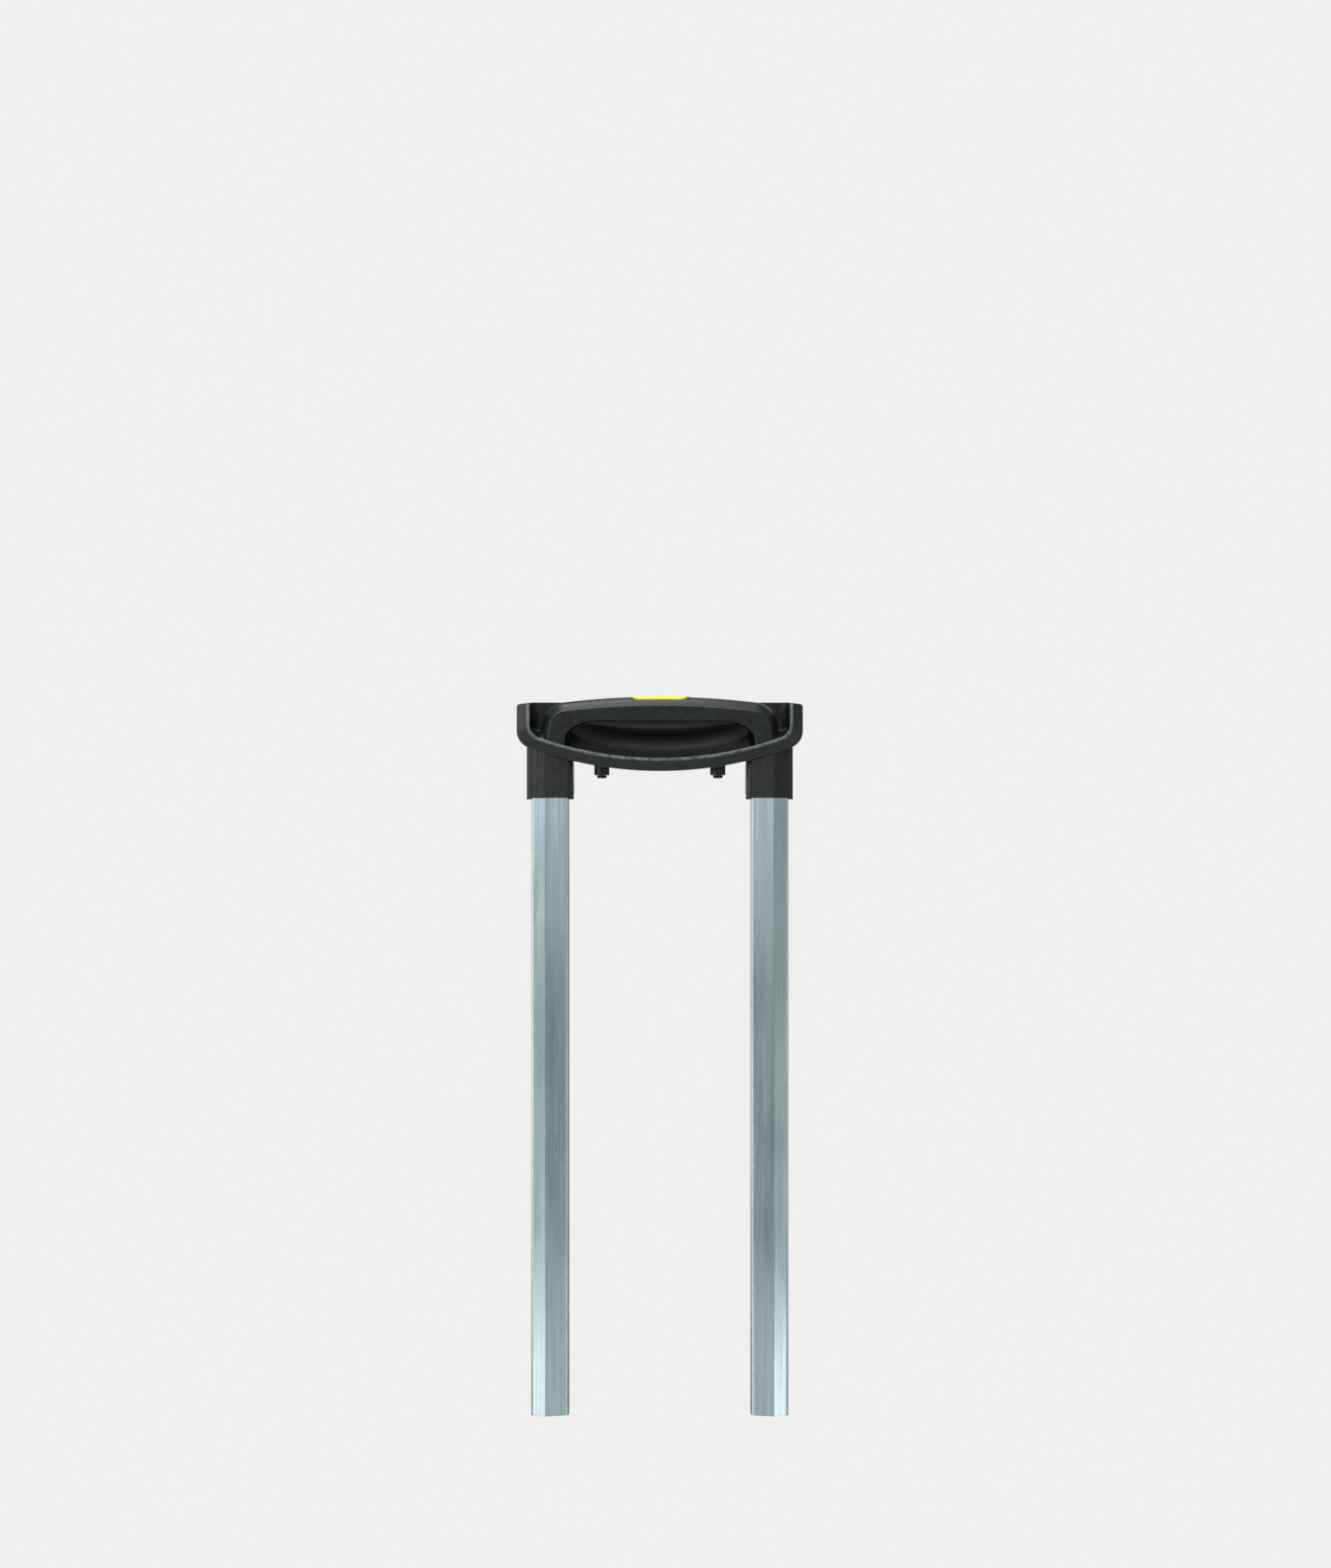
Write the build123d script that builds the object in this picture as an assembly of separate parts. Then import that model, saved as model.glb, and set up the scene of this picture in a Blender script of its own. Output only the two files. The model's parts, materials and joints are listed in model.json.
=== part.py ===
"""A telescopic pull handle for wheeled luggage, stowed.

Two fixed outer tubes carry a recessed tray at the top. A middle pair of tubes and an inner pair slide up
out of them, and the inner pair carries an arched grip. A button in the grip pushes two rods down the inner
tubes to the lock pins at the bottom of each sliding stage.

Millimetres. +Z is up, +X is to the right and -Y is the front. The origin is on the floor of the stowed
handle, midway between the tubes. Every sided part is built on the right and mirrored.
"""

import math
import os

from build123d import *

# ---- Overall sizes and shared clearances ------------------------------------------------------------
outer_tube_top = 435.4
tube_x = 73.2  # each tube's centre from the middle plane
body_gap = 0.3  # between pieces that move past each other
seat_gap = 0.06  # between pieces that are fixed together
far = 1000.0  # past every part, for the tools that cut them

# ---- Tube section, in a frame centred on the tube, with u pointing away from the middle plane ---------
tube_width = 25.0
tube_depth = 18.0
ridge_u = 2.8  # the front ridge stands off centre, towards the outside
outer_facet_drop = 3.6
inner_facet_drop = 3.4
tube_corner_r = 2.6
ridge_r = 0.8
tube_wall = 1.2
stage_gap = 0.8  # between one tube and the next, all round
seam_inset = 2.1  # of the fine drawn line along the inner front facet, from the tube's side
seam_width = 0.5
seam_depth = 0.35
middle_inset = tube_wall + stage_gap
inner_inset = 2 * middle_inset
inner_half = tube_width / 2 - inner_inset

# ---- Push rods and release springs ----------------------------------------------------------------------
rod_r = 1.5
rod_y = 0.5
rod_tip_taper = 1.2
rod_tip_above_pin = 3.3
rod_seat_depth = 1.6  # of a rod's top in the release bar
cam_above_pin = 5.9
cam_taper = 3.2
cam_length = 2.6
cam_r = rod_r + 0.85
release_wire_r = 0.4
release_coil_r = rod_r + release_wire_r + 0.1
release_turns = 7

# ---- Lock blocks and pins, from the bottom up -----------------------------------------------------------
middle_pin_z = 61.2
middle_pin_r = 2.6
middle_pin_travel = 2.8
middle_slider = (5.0, 2 * (rod_r + body_gap + 1.2))  # height, depth
inner_pin_r = 2.0
inner_pin_travel = 1.9
inner_slider = (4.0, 2 * (rod_r + body_gap + 0.5))
slider_wall = 1.5
slider_gap = 0.1
lock_hole_r = middle_pin_r + 0.4
view_hole_r = inner_pin_r + 0.2
assembly_hole_r = 2.0
block_foot = 3.0  # the middle lock block's foot, under its tube
block_step = 1.0  # the inner lock block's foot, under its tube
middle_tube_bottom = middle_pin_z - 11.2
middle_block_bottom = middle_tube_bottom - block_foot
middle_block_top = middle_pin_z + 4.6
middle_rivet_z = middle_tube_bottom + 6.0
inner_block_bottom = middle_block_top + body_gap
inner_tube_bottom = inner_block_bottom + block_step
inner_pin_z = inner_tube_bottom + 4.2
inner_block_top = inner_pin_z + 21.7
inner_rivet_z = inner_pin_z + 17.2
guide_gap = 0.25
spring_wall_thickness = 0.9
pin_spring_wire_r = 0.2
pin_spring_pitch = 0.6
pin_spring_pocket = 0.9
nose_chamfer = 0.5
nose_root = 0.5  # how deep a nose is let into its slider

# ---- Rivets ---------------------------------------------------------------------------------------------
rivet_r = 1.5
rivet_head_r = 2.4
rivet_head = 0.4
rivet_length = 2.2

# ---- Collar on each outer tube --------------------------------------------------------------------------
collar_wall = 3.05
collar_bottom = outer_tube_top - 23.8
collar_top = outer_tube_top + 9.8
guide_plate = 4.4  # inner shelf that centres the middle tube
rail_width = 2.7
rail_drop = 1.0  # how far the side rails reach below the collar
rail_front = 4.4  # set back from the ridge, clear of the rounded corner
rail_back = 1.0
rail_groove = 0.5
rail_groove_depth = 1.4
collar_line_u = 7.8
line_width = 0.4
line_depth = 0.3

# ---- Collar on each middle tube -------------------------------------------------------------------------
ring_wall = 1.5
ring_height = 5.2
ring_lip = 2.0
ring_bottom = outer_tube_top + seat_gap + guide_plate + body_gap
ring_top = ring_bottom + ring_height
ring_seat = ring_top - ring_lip  # top of the middle tube, under the ring's lip

# ---- Travel ---------------------------------------------------------------------------------------------
middle_overlap = 68.4  # of the middle tube still inside the outer one when it is drawn out
inner_overlap = 91.26
middle_travel = outer_tube_top - middle_tube_bottom - middle_overlap
grip_travel = ring_seat - inner_tube_bottom - inner_overlap

# ---- Tray -----------------------------------------------------------------------------------------------
tray_top = outer_tube_top + 39.75
crest_half = tube_x + tube_width / 2 + 1.3  # half width at the crest of the rim
crest_bottom = outer_tube_top + 2.0
crest_arc_rise = 16.0  # of the crest's lower arc, from its middle to its ends
crest_arc_r = (crest_arc_rise**2 + crest_half**2) / (2 * crest_arc_rise)
crest_corner_r = 10.0
crest_land = 1.4
crest_edge_r = 0.65
crest_y = -tube_depth / 2 - 8.0
rim_width = 8.0
rim_corner_r = 12.0
rim_edge_y = crest_y + 3.2
rim_thickness = 1.45
rim_edge_r = 0.7
rim_top_drop = 1.0
rim_top_corner_r = 2.4
corner_overlap = 0.04  # of the tool that rounds the top corners, past the rim's sides
tray_top_rise = 1.2  # from the crest to the back of the tray
pocket_back_y = tube_depth / 2 + 5.0
pocket_corner_r = 6.0
tray_wall = 2.5
tray_back_wall = 3.0
tray_trim = 10.0  # how far the cup and rim run above the tray before they are cut to its top
scoop_rise = 22.0
scoop_front_y = crest_y + 1.4
well_side_gap = 1.0
well_inside = tube_x - tube_width / 2 - well_side_gap
well_front_y = -tube_depth / 2 - 4.5
well_back_y = tube_depth / 2 + collar_wall + seat_gap

# ---- Self-tapping screws --------------------------------------------------------------------------------
screw_r = 1.5
screw_head_r = 3.25
screw_head = 2.0
screw_tip_chamfer = 0.5
cross_width = 0.9
cross_length = 3.6
cross_depth = 1.0

# ---- Tray fixings ---------------------------------------------------------------------------------------
tab_thickness = 2.8
tab_y = tube_depth / 2 + collar_wall + seat_gap
tab_bottom = outer_tube_top - 21.4
tab_top = outer_tube_top + 21.6
tab_screw_points = ((tube_x - 5.0, outer_tube_top - 16.4), (tube_x + 5.0, outer_tube_top - 4.4))
tab_screw_bite = 1.0  # past the front of the tube's back wall
boss_x = 38.75
boss_r = 5.0
boss_post_r = boss_r - 0.4
boss_end = crest_bottom - 10.7
boss_rib = 1.4
boss_rib_depth = 5.0
boss_screw_length = 8.0
back_hole_x = 50.0
back_hole_z = tray_top - 8.15
back_hole_r = 2.2

# ---- Grip -----------------------------------------------------------------------------------------------
grip_foot = ring_top + 0.44
grip_top = tray_top + 3.95
grip_shoulder_x = tube_x + tube_width / 2 - 8.8
grip_foot_x = tube_x + tube_width / 2 - 4.7
crown_rise = 5.5  # from the shoulders to the middle
crown_r = (crown_rise**2 + grip_shoulder_x**2) / (2 * crown_rise)
grip_corner_r = 16.5
grip_front_y = -tube_depth / 2 - 4.1
grip_dome_y = grip_front_y - 1.5
grip_back_y = tube_depth / 2 + 0.6
grip_dome_r = (grip_back_y - grip_dome_y) / 2 - 0.3
grip_crease_r = 1.1
opening_top = grip_top - 16.6
opening_half = tube_x - tube_width / 2 + 2.3
opening_corner_x = 22.0
opening_corner_z = 13.0
opening_front_r = 1.8
opening_back_r = 3.0
opening_splay = 1.0  # how far each leg's inside leans out at its foot
swell_half = opening_half - 5.0  # the finger swell under the bar: a spindle, half its length and its radius
swell_r = 8.6
swell_y = -1.2
grip_wall = 2.2
parting_y = -2.5
parting_gap = 0.2
leg_screw = (opening_half + 3.9, grip_foot + 7.6)
bar_screw = (12.0, opening_top - 2.7)
grip_screw_y = 3.0  # under the head
grip_screw_tip_y = -7.0
grip_screw_end_gap = 0.3
grip_boss_r = 2.5
boss_root = 1.5  # how deep a boss is let into its wall

# ---- Button and release bar -----------------------------------------------------------------------------
button_length = 38.5
button_depth = 13.0
button_height = 4.1  # of its skirt below the grip's top, at the middle
button_proud = 1.0
button_edge_r = 0.8
button_wall = 2.0
button_hollow = 1.2
button_stem = (26.0, 5.6)
bar_y = rod_y - 1.5
bar_top = grip_top - 6.7
bar_height = 3.8
bar_depth = 5.2
bar_half = opening_half - 3.5
bar_arm = opening_top - 1.0
bar_arm_in = opening_half + 3.5
bar_end = tube_x + release_coil_r - 0.2
bar_end_top = bar_arm + 2.1
bar_shoulder_x = tube_x - 2.2
bar_shoulder_z = bar_arm + 4.7
rod_seat = bar_arm + rod_seat_depth

# ---- Spigots --------------------------------------------------------------------------------------------
spigot_bottom = grip_foot - 20.8
spigot_rivet_z = grip_foot - 13.8
spigot_flange = 3.2
spigot_flange_width = grip_foot_x - opening_half - 2 * grip_wall - 1.4
spigot_flange_depth = grip_back_y - grip_front_y - 2 * grip_wall - 3.3
spigot_centre_x = (grip_foot_x + opening_half) / 2 + 0.2
spigot_centre_y = rod_y - 2.5


# ---- Helpers ------------------------------------------------------------------------------------------
def across(face, y_front, y_back):
    """A front-view face, drawn in X and Z, as a solid from y_front to y_back."""
    plane = Plane.XZ.offset(-y_back)
    return extrude(plane * face, amount=y_back - y_front)


def upright(face, z_low, z_high):
    """A plan-view face as a solid from z_low to z_high."""
    return extrude(Pos(0, 0, z_low) * face, amount=z_high - z_low)


def block(x0, x1, y0, y1, z0, z1):
    middle = ((x0 + x1) / 2, (y0 + y1) / 2, (z0 + z1) / 2)
    return Pos(*middle) * Box(abs(x1 - x0), abs(y1 - y0), abs(z1 - z0))


def rod_along(axis, radius, start, length):
    """A cylinder from start, along "x", "y" or "z"; a negative length points the other way."""
    turn = {"x": Rotation(0, 90, 0), "y": Rotation(-90, 0, 0), "z": Rotation(0, 0, 0)}[axis]
    if length < 0:
        step = {"x": (length, 0, 0), "y": (0, length, 0), "z": (0, 0, length)}[axis]
        start = tuple(a + b for a, b in zip(start, step))
    body = Cylinder(radius, abs(length), align=(Align.CENTER, Align.CENTER, Align.MIN))
    return Pos(*start) * turn * body


def other_side(shape):
    return mirror(shape, about=Plane.YZ)


def both(shape):
    """A right-hand shape together with its left-hand twin, as separate solids."""
    return Compound(children=[*shape.solids(), *other_side(shape).solids()])


def save(name, shape):
    export_step(shape, f"parts/{name}.step")


def save_pair(name, shape):
    save(f"{name}_right", shape)
    save(f"{name}_left", other_side(shape))


# ---- Tube sections ------------------------------------------------------------------------------------
def tube_section(inset=0.0):
    """The right tube's outline in plan, moved in by inset (or out, if negative)."""
    half_width, half_depth = tube_width / 2, tube_depth / 2
    outline = Polyline(
        (ridge_u, -half_depth),
        (half_width, -half_depth + outer_facet_drop),
        (half_width, half_depth),
        (-half_width, half_depth),
        (-half_width, -half_depth + inner_facet_drop),
        close=True,
    )
    face = make_face(outline)
    if inset:
        face = offset(face, amount=-inset, kind=Kind.INTERSECTION)
    corners = face.vertices().sort_by(Axis.Y)
    face = fillet(corners[0], ridge_r)
    sides = face.vertices().filter_by(lambda v: abs(v.X) > half_width - inset - 0.01)
    return Pos(tube_x, 0) * fillet(sides, max(tube_corner_r - inset / 2, 0.9))


def side_hole(u_sign, z, radius):
    """A drill through the outer (+1) or inner (-1) side wall of a right-hand tube."""
    reach = tube_width / 2 + 1
    return rod_along("x", radius, (tube_x + u_sign * reach, rod_y, z), -u_sign * (reach - inner_half + 3))


def back_hole(inset, z):
    """A rivet hole through the back wall of a right-hand tube."""
    floor = tube_depth / 2 - inset - tube_wall - 0.5
    return rod_along("y", rivet_r + seat_gap, (tube_x, floor, z), tube_depth)


def make_tube(inset, z_low, z_high):
    shell = upright(tube_section(inset), z_low, z_high)
    return shell - upright(tube_section(inset + tube_wall), z_low - 1, z_high + 1)


def drawn_line():
    """The fine line along the inner front facet, as the prism that cuts it."""
    seam_u = seam_inset - tube_width / 2
    run = ridge_u - seam_u
    slope = inner_facet_drop / (ridge_u + tube_width / 2)
    surface_y = -tube_depth / 2 + run * slope
    cutter = block(-seam_width / 2, seam_width / 2, -seam_depth, seam_depth, -1, outer_tube_top + 1)
    turn = -math.degrees(math.atan(slope))
    return Pos(tube_x + seam_u, surface_y, 0) * Rotation(0, 0, turn) * cutter


def outer_tube():
    tube = make_tube(0, 0, outer_tube_top) - drawn_line()
    for z in (middle_pin_z, middle_pin_z + middle_travel):
        tube -= side_hole(1, z, lock_hole_r)
    tube -= side_hole(-1, middle_pin_z, assembly_hole_r)
    tube -= side_hole(-1, inner_pin_z, view_hole_r)
    for x, z in tab_screw_points:
        tube -= rod_along("y", screw_r + seat_gap, (x, tube_depth, z), -tube_depth)
    return tube


def middle_tube():
    tube = make_tube(middle_inset, middle_tube_bottom, ring_seat)
    tube -= side_hole(1, middle_pin_z, middle_pin_r + slider_gap)
    for z in (inner_pin_z, inner_pin_z + grip_travel):
        tube -= side_hole(-1, z, view_hole_r)
    return tube - back_hole(middle_inset, middle_rivet_z)


def inner_tube():
    tube = make_tube(inner_inset, inner_tube_bottom, grip_foot)
    tube -= side_hole(-1, inner_pin_z, inner_pin_r + slider_gap)
    for z in (inner_rivet_z, spigot_rivet_z):
        tube -= back_hole(inner_inset, z)
    return tube


# ---- Collars ------------------------------------------------------------------------------------------
def collar():
    """Moulded socket over an outer tube, with a shelf inside that guides the middle tube."""
    shelf_low = outer_tube_top + seat_gap
    shelf_high = shelf_low + guide_plate
    body = upright(tube_section(-collar_wall), collar_bottom, collar_top)
    half = tube_width / 2 + collar_wall
    for sign in (-1, 1):
        rail_out = tube_x + sign * half
        rail_in = rail_out - sign * rail_width
        low = collar_bottom - rail_drop
        y_front, y_back = rail_front - tube_depth / 2, tube_depth / 2 - rail_back
        body += block(rail_in, rail_out, y_front, y_back, low, collar_top)
        groove_in = rail_in - sign * rail_groove
        groove_back = rail_groove_depth - tube_depth / 2
        body -= block(rail_in, groove_in, -tube_depth, groove_back, low - 1, collar_top + 1)
    body -= collar_line()
    body -= upright(tube_section(-seat_gap), collar_bottom - rail_drop - 1, shelf_low)
    body -= upright(tube_section(middle_inset - body_gap), shelf_low - 1, shelf_high + 1)
    body -= upright(tube_section(-seat_gap), shelf_high, collar_top + 1)
    for x, z in tab_screw_points:
        body -= rod_along("y", screw_r + seat_gap, (x, 2 * tube_depth, z), -2 * tube_depth)
    return body


def collar_line():
    """The fine moulded line down a collar's outer front facet, as the prism that cuts it."""
    slope = outer_facet_drop / (tube_width / 2 - ridge_u)
    surface_y = -tube_depth / 2 + (collar_line_u - ridge_u) * slope - collar_wall * math.hypot(1, slope)
    cutter = block(-0.5 * line_width, 0.5 * line_width, -line_depth, line_depth, 0, collar_top + 1)
    turn = math.degrees(math.atan(slope))
    return Pos(tube_x + collar_line_u, surface_y, 0) * Rotation(0, 0, turn) * cutter


def middle_collar():
    """Ring on the top of a middle tube that guides the inner tube."""
    ring = upright(tube_section(middle_inset - ring_wall), ring_bottom, ring_top)
    ring -= upright(tube_section(middle_inset - seat_gap), ring_bottom - 1, ring_seat + seat_gap)
    return ring - upright(tube_section(inner_inset - body_gap), ring_bottom - 1, ring_top + 1)


# ---- Tray ---------------------------------------------------------------------------------------------
def tray_outline(half, bottom, arc_r, corner_r, top):
    """Front-view face: straight sides, a long arc along the bottom and rounded lower corners."""
    side_z = bottom + arc_r - math.sqrt(arc_r**2 - half**2)
    low = ThreePointArc((-half, side_z), (0, bottom), (half, side_z))
    walls = Polyline((half, side_z), (half, top), (-half, top), (-half, side_z))
    face = make_face([low, *walls.edges()])
    corners = face.vertices().filter_by(lambda v: abs(v.Y - side_z) < 0.01)
    return fillet(corners, corner_r)


def crest_outline(grow):
    return tray_outline(
        crest_half + grow, crest_bottom - grow, crest_arc_r + grow, crest_corner_r + grow,
        tray_top + tray_trim,
    )


def tray_cup(inset, y_front, y_back, corner_r):
    """The cup as a plug: the crest's outline carried back, with its back edge rounded."""
    plug = across(crest_outline(-inset), y_front, y_back)
    back_edges = plug.faces().sort_by(Axis.Y)[-1].edges()
    back_edges = back_edges.filter_by(lambda e: e.center().Z < tray_top + tray_trim - 1)
    return fillet(back_edges, corner_r)


def tray_rim():
    """Sloped band round the cup, with its crest in front."""
    top = tray_top + tray_trim
    half, bottom = crest_half + rim_width, crest_bottom - rim_width
    outer = tray_outline(half, bottom, crest_arc_r + rim_width, rim_corner_r, top)
    crest = crest_outline(crest_land / 2)
    slope = loft([Plane.XZ.offset(-rim_edge_y) * outer, Plane.XZ.offset(-crest_y) * crest], ruled=True)
    rim = slope + across(outer, rim_edge_y, rim_edge_y + rim_thickness)
    edge = rim.edges().filter_by(lambda e: abs(e.center().Y - rim_edge_y) < 0.01)
    edge = edge.filter_by(lambda e: e.center().Z < top - 1)
    return fillet(edge, rim_edge_r)


def scoop():
    """Bowl between the grip's legs, turned about the centre of the rim's bottom arc."""
    floor = crest_bottom + crest_land / 2
    rise = EllipticalCenterArc(
        (scoop_front_y, floor + scoop_rise),
        pocket_back_y - scoop_front_y,
        scoop_rise,
        start_angle=270,
        arc_size=90,
    )
    base = Polyline(
        (pocket_back_y, floor + scoop_rise),
        (pocket_back_y, floor - 1),
        (scoop_front_y, floor - 1),
        (scoop_front_y, floor),
    )
    section = Plane.YZ * make_face([*rise.edges(), *base.edges()])
    centre = crest_bottom + crest_arc_r
    reach = math.degrees(math.asin(well_inside / (crest_arc_r - scoop_rise))) + 1
    axis = Axis((0, 0, centre), (0, 1, 0))
    bowl = revolve(section.rotate(axis, -reach), axis=axis, revolution_arc=2 * reach)
    return bowl & block(-well_inside, well_inside, -far, far, 0, far)


def collar_socket(sign):
    """What a collar and the tube in it need under the cup."""
    room = upright(tube_section(-collar_wall - seat_gap), 0, collar_top + seat_gap)
    return room if sign > 0 else other_side(room)


def base_boss():
    """Stepped screw boss under the cup, with a rib on each side."""
    up = crest_bottom - boss_end + tray_wall + 1.5
    post = rod_along("z", boss_post_r, (boss_x, 0, boss_end), up)
    for sign in (-1, 1):
        edge = boss_x + sign * boss_r
        half = boss_rib_depth / 2
        post += block(edge, edge - sign * boss_rib, -half, half, boss_end, boss_end + up)
    return post


def tray():
    pocket_inset = crest_land / 2
    cup = tray_cup(
        pocket_inset - tray_wall, rim_edge_y, pocket_back_y + tray_back_wall, pocket_corner_r + tray_wall
    )
    pocket = tray_cup(pocket_inset, crest_y - 5, pocket_back_y, pocket_corner_r)
    rim = tray_rim() - pocket
    crest = rim.edges().filter_by(lambda e: abs(e.center().Y - crest_y) < 0.02)
    crest = crest.filter_by(lambda e: e.center().Z < tray_top + tray_trim - 1)
    rim = fillet(crest, crest_edge_r)
    body = cup - pocket + rim + scoop()
    for sign in (-1, 1):
        centre = sign * tube_x
        half = tube_width / 2 + collar_wall
        body += block(centre - half, centre + half, tab_y, tab_y + tab_thickness, tab_bottom, tab_top)
        boss = base_boss() if sign > 0 else other_side(base_boss())
        body += boss
        body -= rod_along("z", screw_r + seat_gap, (sign * boss_x, 0, boss_end - 1), boss_screw_length + 2)
        wall = tray_back_wall + 2
        body -= rod_along("y", back_hole_r, (sign * back_hole_x, pocket_back_y - 1, back_hole_z), wall)
        for x, z in tab_screw_points:
            body -= rod_along("y", screw_r + seat_gap, (sign * x, tab_y - 1, z), tab_thickness + 2)
        out = centre + sign * (tube_width / 2 + well_side_gap)
        body -= block(sign * well_inside, out, well_front_y, well_back_y, 0, tab_top + 2)
        body -= collar_socket(sign)
    return body - above_tray()


def above_tray():
    """What is cut from the tray's top, which is level across, rises to the back and has rounded corners."""
    edge = crest_half + rim_width + corner_overlap
    outline = Polyline(
        (-edge, 0),
        (-edge, tray_top - rim_top_drop),
        (-crest_half, tray_top),
        (crest_half, tray_top),
        (edge, tray_top - rim_top_drop),
        (edge, 0),
        close=True,
    )
    face = make_face(outline)
    corners = face.vertices().filter_by(lambda v: abs(abs(v.X) - edge) < 0.01 and v.Y > 1)
    kept = across(fillet(corners, rim_top_corner_r), -2 * edge, 2 * edge)
    low, high = tray_top - 2 * rim_width, tray_top + 2 * tray_trim
    cutter = block(-2 * edge, 2 * edge, -edge, edge, low, high) - kept
    tilt = math.degrees(math.atan(tray_top_rise / (pocket_back_y + tray_back_wall - crest_y)))
    return cutter.rotate(Axis((0, 0, tray_top), (1, 0, 0)), tilt)


# ---- Grip ---------------------------------------------------------------------------------------------
def grip_outline(inset):
    """Front view of the arch without its opening."""
    radius = crown_r - inset
    shoulder = grip_shoulder_x - inset
    top = grip_top - inset
    shoulder_z = top - radius + math.sqrt(radius**2 - shoulder**2)
    foot = grip_foot_x - inset
    crown = ThreePointArc((-shoulder, shoulder_z), (0, top), (shoulder, shoulder_z))
    legs = Polyline((shoulder, shoulder_z), (foot, grip_foot), (-foot, grip_foot), (-shoulder, shoulder_z))
    face = make_face([crown, *legs.edges()])
    shoulders = face.vertices().filter_by(lambda v: v.Y > grip_foot + 5)
    return fillet(shoulders, grip_corner_r - inset)


def grip_opening(inset):
    """Front view of the hand opening, widened by inset, running out below the legs."""
    half = opening_half + inset
    top = opening_top + inset
    corner_x, corner_z = opening_corner_x + inset, opening_corner_z + inset
    turn_x, turn_z = half - corner_x, top - corner_z
    right = EllipticalCenterArc((turn_x, turn_z), corner_x, corner_z, start_angle=0, arc_size=90)
    left = EllipticalCenterArc((-turn_x, turn_z), corner_x, corner_z, start_angle=90, arc_size=90)
    span = Line((turn_x, top), (-turn_x, top))
    foot = half + opening_splay
    below = Polyline((-half, turn_z), (-foot, grip_foot - 6), (foot, grip_foot - 6), (half, turn_z))
    return make_face([*right.edges(), span, *left.edges(), *below.edges()])


def grip_blank(inset=0.0):
    """The arch: domed round its outside, flat in front. Moved in all round by inset."""
    front, back = grip_dome_y + inset, grip_back_y - inset
    arch = across(grip_outline(inset), front, back)
    rims = edges_at(arch, front) + edges_at(arch, back)
    arch = fillet(rims, grip_dome_r - inset)
    arch -= block(-far, far, front - 5, grip_front_y + inset, 0, far)
    return arch - across(grip_opening(inset), front - 5, back + 5)


def edges_at(arch, y):
    """The grip's edges in one front-view plane, apart from the ones at its feet."""
    return arch.edges().filter_by(lambda e: abs(e.center().Y - y) < 0.05 and e.center().Z > grip_foot + 1)


def grip_solid():
    """The outside of the grip, with its opening's edges and its front crease rounded."""
    arch = grip_blank()
    for y, radius in ((grip_front_y, opening_front_r), (grip_back_y, opening_back_r)):
        arch = fillet(edges_at(arch, y).filter_by(borders_opening), radius)
    crease = edges_at(arch, grip_front_y).filter_by(lambda e: not borders_opening(e, opening_front_r + 2))
    return fillet(crease, grip_crease_r)


def borders_opening(edge, margin=1.0):
    centre = edge.center()
    return abs(centre.X) < opening_half + margin and centre.Z < opening_top + margin


def finger_swell():
    bow = ThreePointArc((-swell_half, 0), (0, -swell_r), (swell_half, 0))
    spindle = revolve(make_face([bow, Line((swell_half, 0), (-swell_half, 0))]), axis=Axis.X)
    return Pos(0, swell_y, opening_top) * spindle


def button_section(grow=0.0):
    """Plan view of the button."""
    return Pos(0, parting_y) * SlotOverall(button_length + 2 * grow, button_depth + 2 * grow)


def grip_shells():
    """(front shell, back shell), hollow, with the button's slot and the screw bosses."""
    outside = grip_solid()
    hollow = grip_blank(grip_wall)
    hollow -= block(-far, far, -far, far, 0, grip_foot - 1)
    hollow += leg_mouths()
    slot = upright(button_section(body_gap), opening_top + grip_wall + 4, grip_top + 5)
    half_gap = parting_gap / 2
    sides = (
        (grip_front_y, parting_y - half_gap, block(-far, far, -far, parting_y - half_gap, 0, far)),
        (grip_back_y, parting_y + half_gap, block(-far, far, parting_y + half_gap, far, 0, far)),
    )
    shells = []
    for face_y, edge_y, side in sides:
        shell = (outside & side) + (finger_swell() & side) - hollow
        shell += grip_bosses(face_y, edge_y)
        shells.append(shell - slot - grip_screw_holes())
    return shells


def leg_mouths():
    """The open foot of each leg, where the spigot's flange sits."""
    width, depth = spigot_flange_width / 2 + seat_gap, spigot_flange_depth / 2 + seat_gap
    mouth = block(-width, width, -depth, depth, grip_foot - 1, grip_foot + spigot_flange + seat_gap)
    right = Pos(spigot_centre_x, spigot_centre_y, 0) * mouth
    return right + other_side(right)


def grip_bosses(face_y, edge_y):
    """Posts for the leg screws, from a shell's wall to its parting face. The bar screws run in the swell."""
    root = face_y + math.copysign(boss_root, edge_y - face_y)
    post = rod_along("y", grip_boss_r, (leg_screw[0], root, leg_screw[1]), edge_y - root)
    return post + other_side(post)


def grip_screw_holes():
    holes = Part()
    for x, z in (leg_screw, bar_screw):
        for sign in (-1, 1):
            start = (sign * x, grip_screw_y, z)
            depth = grip_screw_y - grip_screw_tip_y + grip_screw_end_gap
            holes += rod_along("y", screw_r + seat_gap, start, -depth)
            holes += rod_along("y", screw_head_r + seat_gap, start, tube_depth)
    return holes


# ---- Button, bar, rods and springs --------------------------------------------------------------------
def release_button():
    """Cap that follows the crown of the grip and stands a little proud of it."""
    low = grip_top - button_height
    cap = upright(button_section(), low, grip_top + 5) & crown_ring(button_proud)
    top = cap.edges().filter_by(lambda e: e.center().Z > low + 1.0)
    cap = fillet(top, button_edge_r)
    inside = Rectangle(button_length - button_depth + 1, button_depth - 2 * button_wall)
    cap -= upright(Pos(0, parting_y) * inside, low - 1, low + button_hollow)
    stem_x, stem_y = button_stem
    stem_top = low + button_hollow
    stem = block(-stem_x / 2, stem_x / 2, bar_y - stem_y / 2, bar_y + stem_y / 2, bar_top, stem_top)
    return cap + stem


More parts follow.
